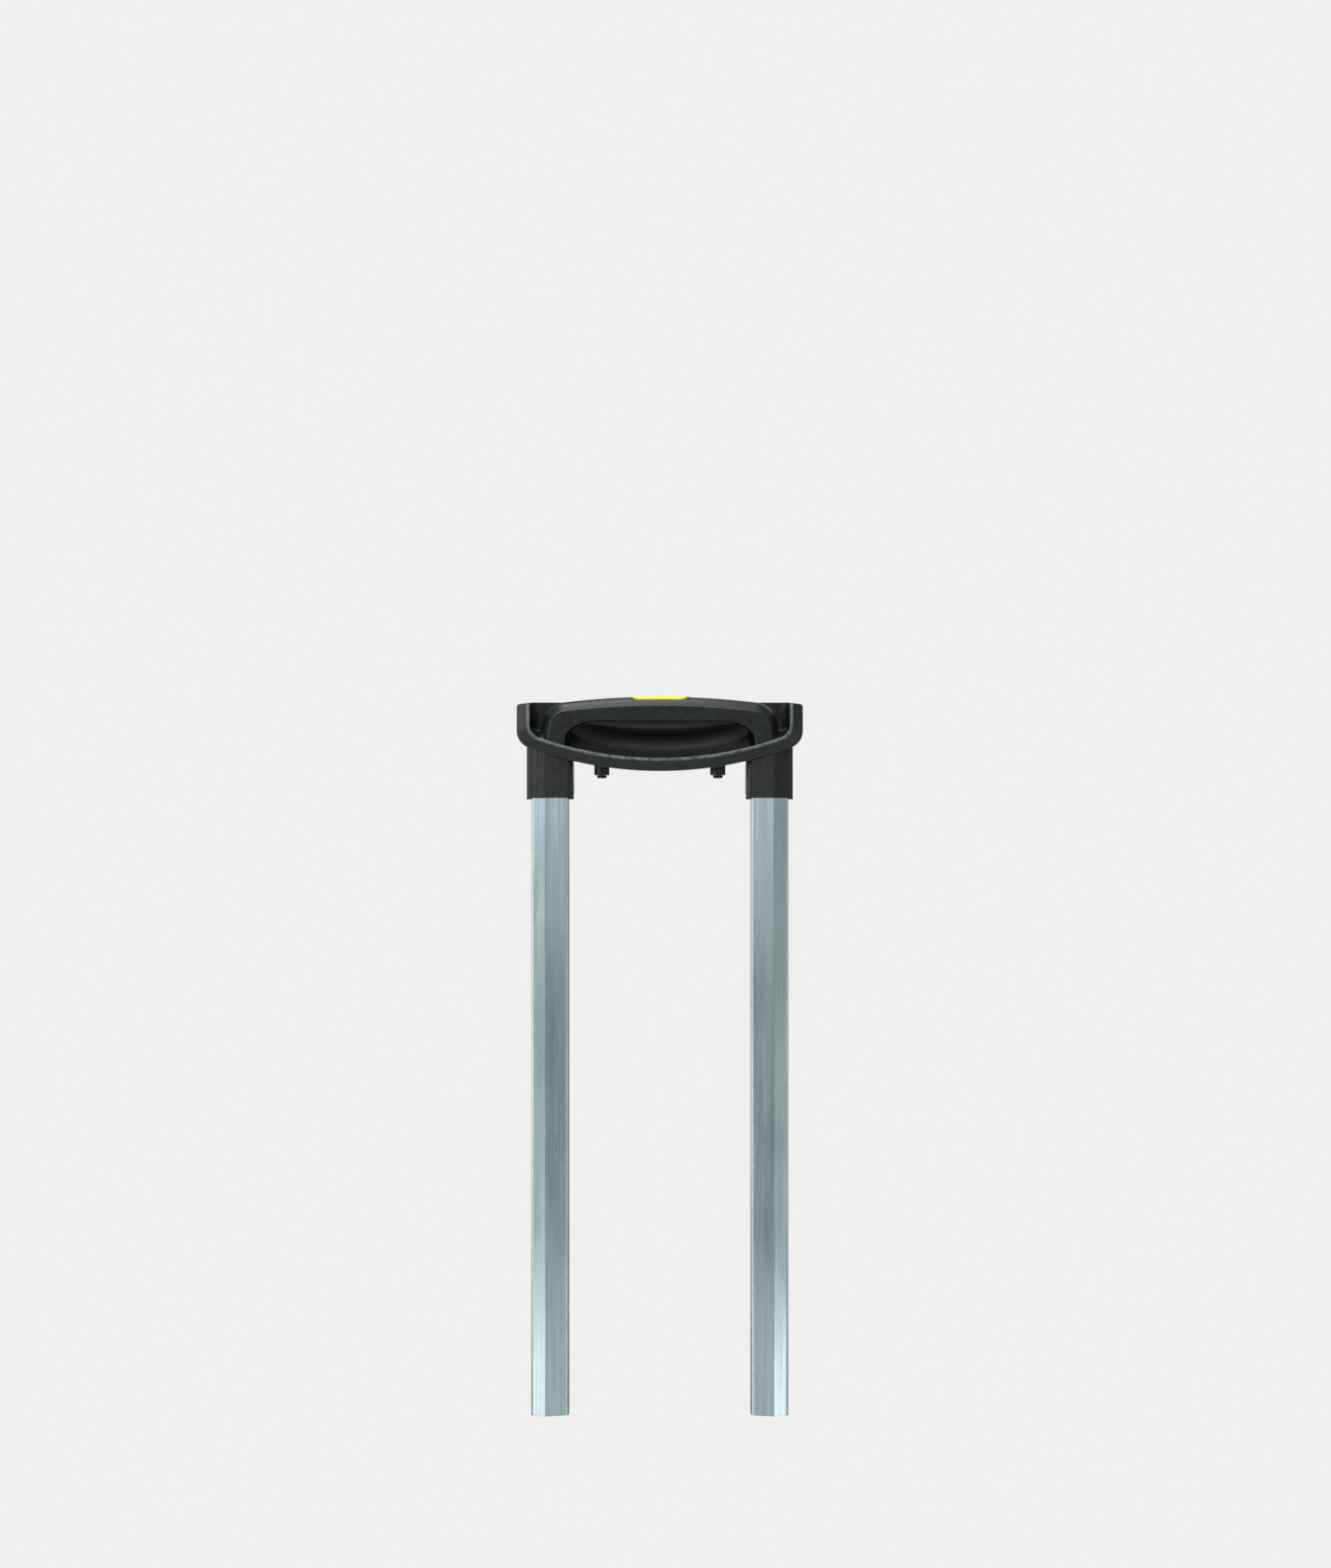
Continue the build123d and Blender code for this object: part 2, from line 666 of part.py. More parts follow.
def crown_ring(grow):
    """The stretch of torus that the rounded crown of the grip belongs to, grown by grow."""
    turn = math.degrees(math.asin(button_length / crown_r))
    centre = (0, grip_dome_y + grip_dome_r, grip_top - grip_dome_r)
    ring = Plane(origin=centre, x_dir=(0, 1, 0), z_dir=(1, 0, 0)) * Circle(grip_dome_r + grow)
    axis = Axis((0, 0, grip_top - crown_r), (0, 1, 0))
    return revolve(ring.rotate(axis, -turn), axis=axis, revolution_arc=2 * turn)


def release_bar():
    """Beam under the button, with an arm down to the top of each push rod."""
    low = bar_top - bar_height
    half = Polyline(
        (0, bar_top),
        (bar_half, bar_top),
        (bar_shoulder_x, bar_shoulder_z),
        (bar_end, bar_end_top),
        (bar_end, bar_arm),
        (bar_arm_in, bar_arm),
        (bar_half, low),
        (0, low),
        close=True,
    )
    beam = across(make_face(half), bar_y - bar_depth / 2, bar_y + bar_depth / 2)
    beam -= rod_along("z", rod_r + seat_gap, (tube_x, rod_y, bar_arm - 1), rod_seat - bar_arm + 1)
    return beam + other_side(beam)


def push_rod():
    """Steel rod with a taper at its tip and a release cam above the inner pin."""
    rod_tip = middle_pin_z + rod_tip_above_pin
    cam_bottom = inner_pin_z + cam_above_pin
    profile = Polyline(
        (0, rod_tip),
        (rod_r - 0.7, rod_tip),
        (rod_r, rod_tip + rod_tip_taper),
        (rod_r, cam_bottom),
        (cam_r, cam_bottom + cam_taper),
        (cam_r, cam_bottom + cam_taper + cam_length),
        (rod_r, cam_bottom + cam_taper + cam_length + 1),
        (rod_r, rod_seat - seat_gap),
        (0, rod_seat - seat_gap),
        close=True,
    )
    turned = revolve(Plane.XZ * make_face(profile), axis=Axis.Z)
    return Pos(tube_x, rod_y, 0) * turned


def spigot():
    """Plug that joins a leg of the grip to an inner tube, with a bore for the push rod."""
    fit = tube_section(inner_inset + tube_wall + seat_gap)
    plug = upright(fit, spigot_bottom, grip_foot)
    width, depth = spigot_flange_width / 2, spigot_flange_depth / 2
    flange = block(-width, width, -depth, depth, grip_foot, grip_foot + spigot_flange)
    plug += Pos(spigot_centre_x, spigot_centre_y, 0) * flange
    plug -= rod_along("z", rod_r + body_gap, (tube_x, rod_y, spigot_bottom - 1), grip_top - spigot_bottom)
    return plug - blind_rivet_hole(inner_inset, spigot_rivet_z)


def coil(radius, wire_r, pitch, length):
    """A compression spring with its axis along Z, standing on the origin."""
    path = Helix(pitch=pitch, height=length - 2 * wire_r, radius=radius)
    start = Plane(origin=path @ 0, z_dir=path % 0)
    return Pos(0, 0, wire_r) * sweep(start * Circle(wire_r), path=path, is_frenet=True)


def release_spring():
    foot = grip_foot + spigot_flange
    length = bar_arm - foot - 2 * seat_gap
    pitch = (length - 2 * release_wire_r) / release_turns
    spring = coil(release_coil_r, release_wire_r, pitch, length)
    return Pos(tube_x, rod_y, foot + seat_gap) * spring


# ---- Lock blocks, pins and rivets ---------------------------------------------------------------------
def slider_channel(size, z):
    height, depth = size
    reach = tube_width
    return block(
        tube_x - reach, tube_x + reach,
        rod_y - depth / 2 - slider_gap, rod_y + depth / 2 + slider_gap,
        z - height / 2 - slider_gap, z + height / 2 + slider_gap,
    )


def slider_span(travel):
    """(back of the slider's body, front of it, its window's back, its window's front), measured from
    the rod's axis along the way the nose points."""
    window_front = rod_r + body_gap
    window_back = -(rod_r + body_gap + travel)
    return window_back - slider_wall, window_front + slider_wall, window_back, window_front


def lock_pin(sign, z, nose_r, size, travel, inset):
    """Slider with a round nose. sign is +1 where the nose points away from the middle plane."""
    height, depth = size
    back, front, window_back, window_front = slider_span(travel)
    face_u = tube_width / 2 - inset
    slider = block(back, front, -depth / 2, depth / 2, -height / 2, height / 2)
    slider -= block(window_back, window_front, -rod_r - body_gap, rod_r + body_gap, -height, height)
    slider -= rod_along("x", pin_spring_r(size) + 0.3, (back - 1, 0, 0), 1 + pin_spring_pocket)
    nose = rod_along("x", nose_r, (front - nose_root, 0, 0), face_u - front + nose_root)
    nose = chamfer(nose.edges().sort_by(Axis.X)[-1], nose_chamfer)
    if sign < 0:
        slider, nose = slider.mirror(Plane.YZ), nose.mirror(Plane.YZ)
    place = Pos(tube_x, rod_y, z)
    room = upright(tube_section(inset + tube_wall + slider_gap), 0, far)
    slider = place * slider
    for moved in (0, sign * travel):
        slider = slider & (Pos(-moved, 0, 0) * room)
    return slider + place * nose


def pin_spring_r(size):
    return min(size) / 2 - 1.1 + pin_spring_wire_r


def pin_spring(sign, z, size, travel, wall_u):
    back = slider_span(travel)[0] + pin_spring_pocket - seat_gap
    length = back + wall_u - seat_gap
    spring = coil(pin_spring_r(size), pin_spring_wire_r, pin_spring_pitch, length)
    turned = Rotation(0, 90, 0) * spring
    turned = Pos(-wall_u + seat_gap, 0, 0) * turned
    if sign < 0:
        turned = turned.mirror(Plane.YZ)
    return Pos(tube_x, rod_y, z) * turned


def blind_rivet_hole(inset, z):
    """The rivet's hole in a block or spigot inside a tube."""
    floor = tube_depth / 2 - inset - rivet_length - seat_gap
    return rod_along("y", rivet_r + seat_gap, (tube_x, floor, z), tube_depth)


def rivet(inset, z):
    """Flat-headed rivet through the back wall of a tube into what is inside it."""
    face = tube_depth / 2 - inset
    head = rod_along("y", rivet_head_r, (tube_x, face, z), rivet_head)
    return head + rod_along("y", rivet_r, (tube_x, face, z), -rivet_length)


def middle_lock_block():
    inside = tube_section(middle_inset + tube_wall + seat_gap)
    body = upright(inside, middle_tube_bottom, middle_block_top)
    body += upright(tube_section(tube_wall + guide_gap), middle_block_bottom, middle_tube_bottom - seat_gap)
    body += upright(inside, middle_block_bottom, middle_tube_bottom)
    body -= slider_channel(middle_slider, middle_pin_z) - spring_wall(1, middle_inset)
    body -= rod_along("z", rod_r + body_gap, (tube_x, rod_y, middle_pin_z - middle_slider[0]), tube_width)
    return body - blind_rivet_hole(middle_inset, middle_rivet_z)


def inner_lock_block():
    inside = tube_section(inner_inset + tube_wall + seat_gap)
    body = upright(inside, inner_block_bottom, inner_block_top)
    foot = tube_section(middle_inset + tube_wall + guide_gap)
    body += upright(foot, inner_block_bottom, inner_tube_bottom - seat_gap)
    body -= slider_channel(inner_slider, inner_pin_z) - spring_wall(-1, inner_inset)
    bore = inner_block_top - inner_block_bottom + 2
    body -= rod_along("z", rod_r + body_gap, (tube_x, rod_y, inner_block_bottom - 1), bore)
    body -= rod_along("z", cam_r + body_gap, (tube_x, rod_y, inner_pin_z), bore)
    return body - blind_rivet_hole(inner_inset, inner_rivet_z)


def spring_wall(sign, inset):
    """The end of a slider's channel that its spring pushes against."""
    inner = tube_x - sign * spring_wall_u(inset)
    return block(inner, inner - sign * tube_width, -tube_depth, tube_depth, 0, far)


def spring_wall_u(inset):
    return tube_width / 2 - inset - tube_wall - spring_wall_thickness


# ---- Screws -------------------------------------------------------------------------------------------
def screw(length):
    """Pan-head screw with its head's underside on the origin, its shank along -Z and a cross recess."""
    head = rod_along("z", screw_head_r, (0, 0, 0), screw_head)
    head = fillet(head.edges().sort_by(Axis.Z)[-1], screw_head * 0.45)
    for turn in (0, 90):
        arm = Box(cross_length, cross_width, 2 * cross_depth)
        head -= Pos(0, 0, screw_head) * Rotation(0, 0, turn) * arm
    shank = rod_along("z", screw_r, (0, 0, 0), -length)
    return head + chamfer(shank.edges().sort_by(Axis.Z)[0], screw_tip_chamfer)


def placed_screws(length, places, turn):
    return Compound(children=[s for p in places for s in (Pos(*p) * turn * screw(length)).solids()])


def collar_screws():
    back = tab_y + tab_thickness
    places = [(sign * x, back + seat_gap, z) for x, z in tab_screw_points for sign in (-1, 1)]
    return placed_screws(back - tube_depth / 2 + tab_screw_bite, places, Rotation(-90, 0, 0))


def base_screws():
    places = [(sign * boss_x, 0, boss_end - seat_gap) for sign in (-1, 1)]
    return placed_screws(boss_screw_length, places, Rotation(180, 0, 0))


def grip_screws():
    head_y = grip_screw_y + seat_gap
    places = [(sign * x, head_y, z) for x, z in (leg_screw, bar_screw) for sign in (-1, 1)]
    return placed_screws(grip_screw_y - grip_screw_tip_y, places, Rotation(-90, 0, 0))


# ---- Build --------------------------------------------------------------------------------------------
def main():
    os.makedirs("parts", exist_ok=True)
    save("tray", tray())
    save_pair("outer_tube", outer_tube())
    save_pair("collar", collar())
    save("collar_screws", collar_screws())
    save("base_screws", base_screws())

    save_pair("middle_tube", middle_tube())
    save_pair("middle_collar", middle_collar())
    save_pair("middle_lock_block", middle_lock_block())
    save("middle_block_rivets", both(rivet(middle_inset, middle_rivet_z)))

    save_pair("inner_tube", inner_tube())
    save_pair("inner_lock_block", inner_lock_block())
    save("inner_block_rivets", both(rivet(inner_inset, inner_rivet_z)))
    save_pair("grip_spigot", spigot())
    save("spigot_rivets", both(rivet(inner_inset, spigot_rivet_z)))
    front_shell, back_shell = grip_shells()
    save("grip_front_shell", front_shell)
    save("grip_back_shell", back_shell)
    save("grip_screws", grip_screws())

    save("release_button", release_button())
    save("release_bar", release_bar())
    save_pair("push_rod", push_rod())
    save_pair("release_spring", release_spring())

    locks = (
        ("middle", 1, middle_pin_z, middle_pin_r, middle_slider, middle_pin_travel, middle_inset),
        ("inner", -1, inner_pin_z, inner_pin_r, inner_slider, inner_pin_travel, inner_inset),
    )
    for name, sign, z, nose_r, slider, travel, inset in locks:
        save_pair(f"{name}_pin", lock_pin(sign, z, nose_r, slider, travel, inset))
        save_pair(f"{name}_pin_spring", pin_spring(sign, z, slider, travel, spring_wall_u(inset)))


main()
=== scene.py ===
"""The looks of the telescopic trolley handle, round its CAD model.

Metres, +Z up, the front towards -Y. Every CAD node keeps its shape and gets a material made of nodes, whose
patterns are laid out in the handle's own coordinates.
"""

import json
import math

import bpy
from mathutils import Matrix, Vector


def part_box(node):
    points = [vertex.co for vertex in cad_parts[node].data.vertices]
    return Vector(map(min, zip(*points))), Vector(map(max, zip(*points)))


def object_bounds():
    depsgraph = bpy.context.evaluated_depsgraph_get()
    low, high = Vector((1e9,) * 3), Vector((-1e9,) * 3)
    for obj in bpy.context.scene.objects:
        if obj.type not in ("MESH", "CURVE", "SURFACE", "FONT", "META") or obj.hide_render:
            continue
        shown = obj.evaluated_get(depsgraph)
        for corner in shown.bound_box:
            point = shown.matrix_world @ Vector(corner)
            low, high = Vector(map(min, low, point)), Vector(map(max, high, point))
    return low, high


MM = 0.001
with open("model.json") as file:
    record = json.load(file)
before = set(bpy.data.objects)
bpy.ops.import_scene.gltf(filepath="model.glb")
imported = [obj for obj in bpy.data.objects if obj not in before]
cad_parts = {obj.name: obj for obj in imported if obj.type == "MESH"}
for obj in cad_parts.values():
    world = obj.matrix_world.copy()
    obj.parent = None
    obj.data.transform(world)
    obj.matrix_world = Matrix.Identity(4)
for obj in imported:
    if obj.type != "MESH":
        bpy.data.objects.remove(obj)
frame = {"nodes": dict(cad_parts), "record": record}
cad_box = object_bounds()

WHITE = (1.0, 1.0, 1.0)
EVEN = (1.0, 1.0, 1.0)  # a pattern that isn't stretched

# ---- Materials -----------------------------------------------------------------------------------
EDGE_SAMPLES = 6
EDGE_STARTS, EDGE_FULL = 0.995, 0.93  # cosine between the rounded normal and the flat one
PEBBLE_SMOOTHNESS = 0.6

PLASTIC_EDGE = 0.35 * MM
PLASTIC_MOTTLE = 14 * MM
PLASTIC_SCUFF = 3 * MM
FINE_SHARE = 0.35  # of the pebbles' size and depth, for the finer grain on them
CREST_HIGHLIGHT_STARTS, CREST_HIGHLIGHT_FULL = 0.42 * MM, 0.12 * MM  # painted highlight along the tray's crest, where it starts and where it is full, behind the tray's foremost point

ALUMINIUM_EDGE = 0.3 * MM
LINE_SIZE, LINE_STRETCH = 0.22 * MM, (1.0, 1.0, 0.004)
BAND_SIZE, BAND_STRETCH = 1.8 * MM, (1.0, 1.0, 0.02)
CLOUD_SIZE, CLOUD_STRETCH = 30 * MM, (1.0, 1.0, 0.35)
SPECK_SIZE, SPECK_STRETCH, SPECK_SHIFT = 0.9 * MM, (1.0, 1.0, 0.5), (3.0, 1.0, 2.0)
LINE_DEPTH, SCRATCH_DEPTH = 0.007 * MM, 0.02 * MM
BRIGHT_EDGE, BRIGHT_SCRATCH = (0.86, 0.88, 0.88), (0.84, 0.86, 0.86)

METAL_EDGE = 0.15 * MM
METAL_DEPTH = 0.02 * MM
METAL_SHADE = 0.8  # of the base colour, in the finish's hollows


class Surface:
    """A material being made: one Principled shader, and the patterns that feed it."""

    def __init__(self, name, roughness, metallic=0.0):
        self.material = bpy.data.materials.new(name)
        self.material.use_nodes = True
        self.tree = self.material.node_tree
        self.shader = next(n for n in self.tree.nodes if n.type == "BSDF_PRINCIPLED")
        self.shader.inputs["Roughness"].default_value = roughness
        self.shader.inputs["Metallic"].default_value = metallic
        self.coords = self.node("ShaderNodeTexCoord").outputs["Object"]
        self.normal = None

    def node(self, kind, **settings):
        made = self.tree.nodes.new(kind)
        for key, value in settings.items():
            setattr(made, key, value)
        return made

    def join(self, source, target):
        self.tree.links.new(source, target)

    def placed(self, stretch=EVEN, shift=(0.0, 0.0, 0.0)):
        """The handle's coordinates, scaled and shifted along each axis."""
        mapping = self.node("ShaderNodeMapping")
        mapping.inputs["Scale"].default_value = stretch
        mapping.inputs["Location"].default_value = shift
        self.join(self.coords, mapping.inputs["Vector"])
        return mapping.outputs["Vector"]

    def noise(self, size, detail=3.0, stretch=EVEN, shift=(0.0, 0.0, 0.0)):
        """Cloudy pattern from 0 to 1, whose blobs are about size across before they are stretched."""
        pattern = self.node("ShaderNodeTexNoise")
        pattern.inputs["Scale"].default_value = 1.0 / size
        pattern.inputs["Detail"].default_value = detail
        self.join(self.placed(stretch, shift), pattern.inputs["Vector"])
        return pattern.outputs["Fac"]

    def cells(self, size):
        """Rounded pebbles about size across."""
        pattern = self.node("ShaderNodeTexVoronoi", feature="SMOOTH_F1")
        pattern.inputs["Scale"].default_value = 1.0 / size
        pattern.inputs["Smoothness"].default_value = PEBBLE_SMOOTHNESS
        self.join(self.placed(), pattern.inputs["Vector"])
        return pattern.outputs["Distance"]

    def ramp(self, source, low, high, out_low=0.0, out_high=1.0):
        """source, with low to high spread over out_low to out_high."""
        spread = self.node("ShaderNodeMapRange")
        self.join(source, spread.inputs["Value"])
        limits = {"From Min": low, "From Max": high, "To Min": out_low, "To Max": out_high}
        for key, value in limits.items():
            spread.inputs[key].default_value = value
        return spread.outputs["Result"]

    def maths(self, operation, first, second):
        """first and second are each a number or another node's output."""
        work = self.node("ShaderNodeMath", operation=operation)
        for socket, value in zip(work.inputs, (first, second)):
            if isinstance(value, (int, float)):
                socket.default_value = value
            else:
                self.join(value, socket)
        return work.outputs["Value"]

    def tint(self, share, first, second):
        """A colour between first and second. Each is a colour or another tint."""
        mix = self.node("ShaderNodeMix", data_type="RGBA")
        self.join(share, mix.inputs["Factor"])
        for key, value in (("A", first), ("B", second)):
            socket = next(s for s in mix.inputs if s.name == key and s.type == "RGBA")
            if isinstance(value, tuple):
                socket.default_value = (*value, 1.0)
            else:
                self.join(value, socket)
        return next(s for s in mix.outputs if s.type == "RGBA")

    def edges(self, radius):
        """1 on a sharp edge and 0 on a face. The shader's normal is rounded over the same edges."""
        rounded = self.node("ShaderNodeBevel", samples=EDGE_SAMPLES)
        rounded.inputs["Radius"].default_value = radius
        self.normal = rounded.outputs["Normal"]
        flat = self.node("ShaderNodeNewGeometry").outputs["Normal"]
        dot = self.node("ShaderNodeVectorMath", operation="DOT_PRODUCT")
        self.join(self.normal, dot.inputs[0])
        self.join(flat, dot.inputs[1])
        return self.ramp(dot.outputs["Value"], EDGE_STARTS, EDGE_FULL)

    def along(self, axis, start, end):
        """0 at start and 1 at end, along an axis of the handle's coordinates."""
        split = self.node("ShaderNodeSeparateXYZ")
        self.join(self.coords, split.inputs["Vector"])
        return self.ramp(split.outputs[axis], start, end)

    def raise_by(self, height, depth, strength):
        """Adds a relief of about depth, on top of what is there."""
        bump = self.node("ShaderNodeBump")
        bump.inputs["Distance"].default_value = depth
        bump.inputs["Strength"].default_value = strength
        self.join(height, bump.inputs["Height"])
        if self.normal:
            self.join(self.normal, bump.inputs["Normal"])
        self.normal = bump.outputs["Normal"]

    def finish(self, colour, roughness):
        self.join(colour, self.shader.inputs["Base Color"])
        self.join(roughness, self.shader.inputs["Roughness"])
        self.join(self.normal, self.shader.inputs["Normal"])
        return self.material


def moulded_plastic(name, dark, light, worn, grain, relief, rough, painted_crest_highlight=None):
    """Moulded plastic: pebbled grain of the given size and depth, faint mottling, and paler worn edges.

    painted_crest_highlight is a painted highlight along a rounded front edge, in the worn colour: where it
    starts in Y, and where it is full.
    """
    s = Surface(name, rough)
    edge = s.edges(PLASTIC_EDGE)
    # A painted highlight along the rounded front edge, when asked for, joins the edge wear mask.
    if painted_crest_highlight:
        edge = s.maths("MAXIMUM", edge, s.along("Y", *painted_crest_highlight))
    pebbles = s.cells(grain)
    fine = s.noise(grain * FINE_SHARE, detail=2.0)
    mottle = s.noise(PLASTIC_MOTTLE, detail=4.0)
    scuffs = s.noise(PLASTIC_SCUFF, detail=5.0)
    s.raise_by(pebbles, relief, 0.8)
    s.raise_by(fine, relief * FINE_SHARE, 0.6)
    body = s.tint(s.ramp(mottle, 0.35, 0.7), dark, light)
    body = s.tint(s.ramp(pebbles, 0.15, 0.75, 0.0, 0.5), body, light)
    # Edge wear in the worn colour, together with any painted highlight along the crest.
    wear = s.maths("MULTIPLY", edge, s.ramp(scuffs, 0.35, 0.65, 0.25, 1.0))
    colour = s.tint(wear, body, worn)
    gloss = s.maths(
        "ADD",
        s.ramp(scuffs, 0.3, 0.7, rough - 0.05, rough + 0.07),
        s.ramp(mottle, 0.3, 0.7, 0.0, 0.04),
    )
    return s.finish(colour, gloss)


def drawn_aluminium(name, cool, pale, warm, rough):
    """Bare drawn aluminium: fine lines along the tube, slow changes of tone and a few light scratches."""
    s = Surface(name, rough, metallic=1.0)
    edge = s.edges(ALUMINIUM_EDGE)
    lines = s.noise(LINE_SIZE, detail=3.0, stretch=LINE_STRETCH)
    bands = s.noise(BAND_SIZE, detail=3.0, stretch=BAND_STRETCH)
    clouds = s.noise(CLOUD_SIZE, detail=4.0, stretch=CLOUD_STRETCH)
    specks = s.noise(SPECK_SIZE, detail=2.0, stretch=SPECK_STRETCH, shift=SPECK_SHIFT)
    scratches = s.ramp(specks, 0.70, 0.74)
    s.raise_by(lines, LINE_DEPTH, 0.4)
    s.raise_by(scratches, SCRATCH_DEPTH, 0.3)
    tone = s.tint(s.ramp(clouds, 0.25, 0.75), cool, pale)
    tone = s.tint(s.ramp(bands, 0.5, 0.75, 0.0, 0.45), tone, warm)
    tone = s.tint(s.ramp(lines, 0.4, 0.7, 0.0, 0.35), tone, pale)
    tone = s.tint(s.maths("MULTIPLY", edge, 0.6), tone, BRIGHT_EDGE)
    colour = s.tint(s.maths("MULTIPLY", scratches, 0.5), tone, BRIGHT_SCRATCH)
    gloss = s.maths(
        "ADD",
        s.ramp(bands, 0.3, 0.7, rough - 0.05, rough + 0.05),
        s.ramp(lines, 0.3, 0.7, 0.0, 0.07),
    )
    gloss = s.maths("ADD", gloss, s.ramp(clouds, 0.35, 0.65, -0.02, 0.02))
    return s.finish(colour, gloss)


def turned_metal(name, base, worn, rough, grain=0.5 * MM):
    """Small plated or oxidised parts: a fine uneven finish, brighter on the edges."""
    s = Surface(name, rough, metallic=1.0)
    edge = s.edges(METAL_EDGE)
    fine = s.noise(grain, detail=4.0)
    s.raise_by(fine, METAL_DEPTH, 0.5)
    body = s.tint(s.ramp(fine, 0.3, 0.7), tuple(METAL_SHADE * c for c in base), base)
    wear = s.maths("MULTIPLY", edge, s.ramp(fine, 0.3, 0.6, 0.3, 1.0))
    colour = s.tint(wear, body, worn)
    return s.finish(colour, s.ramp(fine, 0.3, 0.7, rough - 0.08, rough + 0.1))


def materials():
    """One material for each slot of the record."""
    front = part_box("tray")[0][1]
    return {
        # The pale worn colour is wear on the tray's edges and also the painted highlight along its crest.
        "tray_plastic": moulded_plastic(
            "tray_plastic",
            dark=(0.0048, 0.0062, 0.0072), light=(0.0085, 0.0108, 0.0122), worn=(0.17, 0.19, 0.2),
            grain=0.55 * MM, relief=0.016 * MM, rough=0.34,
            painted_crest_highlight=(front + CREST_HIGHLIGHT_STARTS, front + CREST_HIGHLIGHT_FULL),
        ),
        "grip_plastic": moulded_plastic(
            "grip_plastic",
            dark=(0.0048, 0.006, 0.007), light=(0.0095, 0.0118, 0.0132), worn=(0.045, 0.05, 0.052),
            grain=0.7 * MM, relief=0.022 * MM, rough=0.33,
        ),
        "collar_plastic": moulded_plastic(
            "collar_plastic",
            dark=(0.0045, 0.005, 0.0055), light=(0.0085, 0.0095, 0.01), worn=(0.05, 0.056, 0.058),
            grain=1.6 * MM, relief=0.004 * MM, rough=0.2,
        ),
        "guide_plastic": moulded_plastic(
            "guide_plastic",
            dark=(0.02, 0.021, 0.023), light=(0.03, 0.031, 0.033), worn=(0.07, 0.072, 0.075),
            grain=0.4 * MM, relief=0.02 * MM, rough=0.45,
        ),
        "button_plastic": moulded_plastic(
            "button_plastic",
            dark=(0.90, 0.76, 0.14), light=(0.95, 0.82, 0.2), worn=(0.97, 0.9, 0.4),
            grain=0.5 * MM, relief=0.012 * MM, rough=0.36,
        ),
        "tube_aluminium": drawn_aluminium(
            "tube_aluminium",
            cool=(0.41, 0.53, 0.565), pale=(0.60, 0.71, 0.735), warm=(0.60, 0.63, 0.62), rough=0.2,
        ),
        "stage_aluminium": drawn_aluminium(
            "stage_aluminium",
            cool=(0.62, 0.65, 0.66), pale=(0.74, 0.76, 0.77), warm=(0.7, 0.69, 0.68), rough=0.28,
        ),
        "rivet_aluminium": turned_metal(
            "rivet_aluminium", base=(0.68, 0.69, 0.7), worn=(0.88, 0.89, 0.9), rough=0.3,
        ),
        "rod_steel": turned_metal(
            "rod_steel", base=(0.55, 0.56, 0.57), worn=(0.8, 0.81, 0.82), rough=0.28,
        ),
        "spring_steel": turned_metal(
            "spring_steel", base=(0.5, 0.5, 0.52), worn=(0.78, 0.78, 0.8), rough=0.25, grain=0.2 * MM,
        ),
        "black_screw": turned_metal(
            "black_screw", base=(0.03, 0.031, 0.033), worn=(0.12, 0.12, 0.125), rough=0.4, grain=0.3 * MM,
        ),
    }


def dress_nodes():
    """Gives each CAD node its slot's material."""
    made = materials()
    slot_of = {part["node"]: part["material_slot"] for part in frame["record"]["subparts"]}
    for name, node in frame["nodes"].items():
        node.material_slots[0].material = made[slot_of[name]]


# ---- Stage, light and camera -----------------------------------------------------------------------
FLOOR_DROP = 0.6  # the floor lies below the picture, so that the handle hangs in plain light
FLOOR_RADIUS = 1.5
FLOOR_SIDES = 96
PAPER_DARK, PAPER_PALE = (0.80, 0.80, 0.80), (0.84, 0.84, 0.84)
PAPER_ROUGHNESS = 0.9
PAPER_CLOUD, PAPER_FIBRE, PAPER_DEPTH = 0.2, 2 * MM, 0.05 * MM

BACKDROP = 0.863
AMBIENT = 0.26
AMBIENT_TINT = (0.93, 1.0, 1.02)

HEAD = (0.0, 0.0, 0.45)  # middle of the tray and grip, which the softboxes face
WARM_WHITE = (1.0, 0.96, 0.92)

# name, place, width, height, radiance
SOFTBOXES = (
    ("top_softbox", (-0.15, 0.0, 1.7), 1.4, 0.6, 3.0),
    ("front_softbox", (-0.25, -1.25, 1.5), 1.3, 0.5, 9.0),
    ("back_panel", (0.5, 1.8, 1.0), 1.2, 1.2, 0.7),
)
# name, azimuth in degrees, distance, bottom, top, width, radiance, colour
STANDING_PANELS = (
    ("left_key", -52, 2.0, 0.5, 1.2, 0.45, 5.5, WHITE),
    ("left_wall", -44, 2.2, -0.3, 0.42, 0.9, 0.27, WHITE),
    ("right_wall", 44, 2.2, -0.3, 0.8, 0.9, 0.17, WARM_WHITE),
    ("left_side", -74, 1.9, -0.4, 0.9, 0.6, 2.0, WHITE),
    ("right_side", 74, 1.9, -0.4, 0.9, 0.6, 1.1, WHITE),
    ("left_rear", -118, 1.9, -0.2, 0.9, 0.8, 1.3, WHITE),
)
# name, azimuth in degrees, distance, bottom, top, width, radiance. Each stands on both sides.
PAIRED_PANELS = (
    ("front_high", 24, 2.2, 0.24, 0.7, 0.45, 0.85),
    ("front_card", 24, 2.2, -0.58, -0.32, 0.5, 0.8),
    ("low_card", 44, 2.1, -0.58, -0.35, 0.9, 2.3),
)

CAMERA_DISTANCE = 1.9
CAMERA_ACROSS, CAMERA_UP = 3.8 * MM, 420.8 * MM
HEIGHT_SEEN = 1.0481  # of the plane through the handle's middle
SENSOR_HEIGHT = 36.0  # in the camera's own unit, millimetres
CLIP_END = 50.0


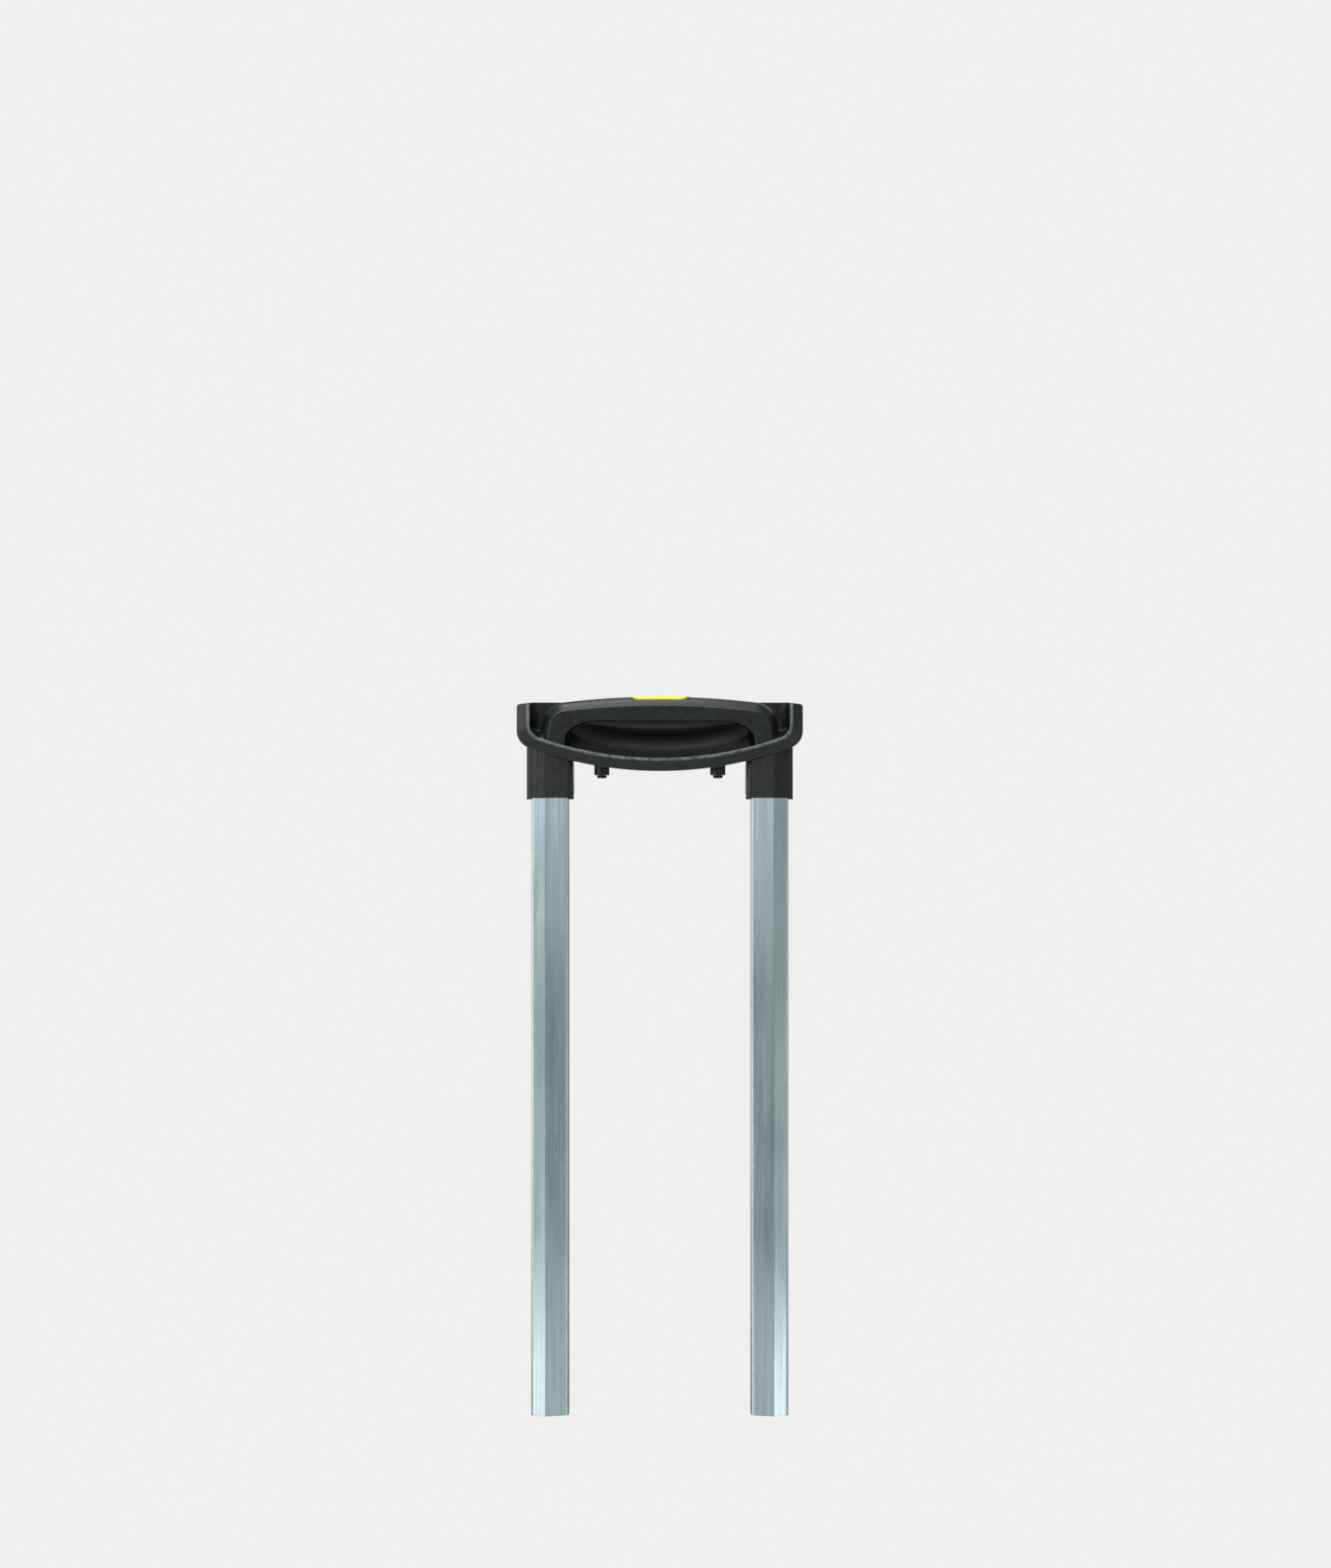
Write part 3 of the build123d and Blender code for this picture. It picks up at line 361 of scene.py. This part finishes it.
def floor():
    """A pale round floor well below the handle."""
    bpy.ops.mesh.primitive_circle_add(
        vertices=FLOOR_SIDES, radius=FLOOR_RADIUS, fill_type="NGON",
        location=(0, 0, cad_box[0][2] - FLOOR_DROP),
    )
    disc = bpy.context.active_object
    disc.name = "floor"
    s = Surface("floor_paper", PAPER_ROUGHNESS)
    shade = s.noise(PAPER_CLOUD, detail=2.0)
    s.raise_by(s.noise(PAPER_FIBRE), PAPER_DEPTH, 0.2)
    colour = s.tint(shade, PAPER_DARK, PAPER_PALE)
    disc.data.materials.append(s.finish(colour, s.ramp(shade, 0.0, 1.0, 0.85, 0.95)))


def surroundings():
    """Plain pale surroundings, which light the handle less than they show behind it."""
    world = bpy.data.worlds.new("studio")
    bpy.context.scene.world = world
    world.use_nodes = True
    nodes, links = world.node_tree.nodes, world.node_tree.links
    nodes.clear()
    seen, lit = nodes.new("ShaderNodeBackground"), nodes.new("ShaderNodeBackground")
    seen.inputs["Color"].default_value = (BACKDROP, BACKDROP, BACKDROP, 1.0)
    lit.inputs["Color"].default_value = (*(share * AMBIENT for share in AMBIENT_TINT), 1.0)
    ray, mix, out = (nodes.new(f"ShaderNode{k}") for k in ("LightPath", "MixShader", "OutputWorld"))
    links.new(ray.outputs["Is Camera Ray"], mix.inputs["Fac"])
    links.new(lit.outputs[0], mix.inputs[1])
    links.new(seen.outputs[0], mix.inputs[2])
    links.new(mix.outputs[0], out.inputs["Surface"])


def panel(name, place, target, width, height, radiance, colour=WHITE):
    """A soft rectangular light at place, facing target."""
    light = bpy.data.lights.new(name, "AREA")
    light.shape = "RECTANGLE"
    light.size, light.size_y = width, height
    light.energy = radiance * math.pi * width * height
    light.color = colour
    lamp = bpy.data.objects.new(name, light)
    bpy.context.scene.collection.objects.link(lamp)
    lamp.location = place
    lamp.rotation_euler = (Vector(target) - Vector(place)).to_track_quat("-Z", "Y").to_euler()


def standing_panel(name, azimuth, distance, low, high, width, radiance, colour=WHITE):
    """An upright soft light. azimuth is in degrees from straight ahead, positive to the handle's right."""
    turn = math.radians(azimuth)
    middle = (low + high) / 2
    place = (distance * math.sin(turn), -distance * math.cos(turn), middle)
    panel(name, place, (0.0, 0.0, middle), width, high - low, radiance, colour)


def lights():
    """Softboxes above, in front and behind, and upright walls and cards that the bare tubes mirror."""
    for name, place, width, height, radiance in SOFTBOXES:
        panel(name, place, HEAD, width, height, radiance)
    for row in STANDING_PANELS:
        standing_panel(*row)
    for side, prefix in ((-1, "left"), (1, "right")):
        for name, azimuth, *rest in PAIRED_PANELS:
            standing_panel(f"{prefix}_{name}", azimuth * side, *rest)


def camera():
    """Square on to the front, near the handle's upper part."""
    data = bpy.data.cameras.new("camera")
    data.sensor_fit = "VERTICAL"
    data.sensor_height = SENSOR_HEIGHT
    data.lens = SENSOR_HEIGHT * CAMERA_DISTANCE / HEIGHT_SEEN
    data.clip_end = CLIP_END
    shot = bpy.data.objects.new("camera", data)
    bpy.context.scene.collection.objects.link(shot)
    shot.location = (CAMERA_ACROSS, -CAMERA_DISTANCE, CAMERA_UP)
    shot.rotation_euler = (math.pi / 2, 0.0, 0.0)
    bpy.context.scene.camera = shot


camera()
surroundings()
lights()
floor()
dress_nodes()
bpy.context.scene.view_settings.view_transform = "Standard"
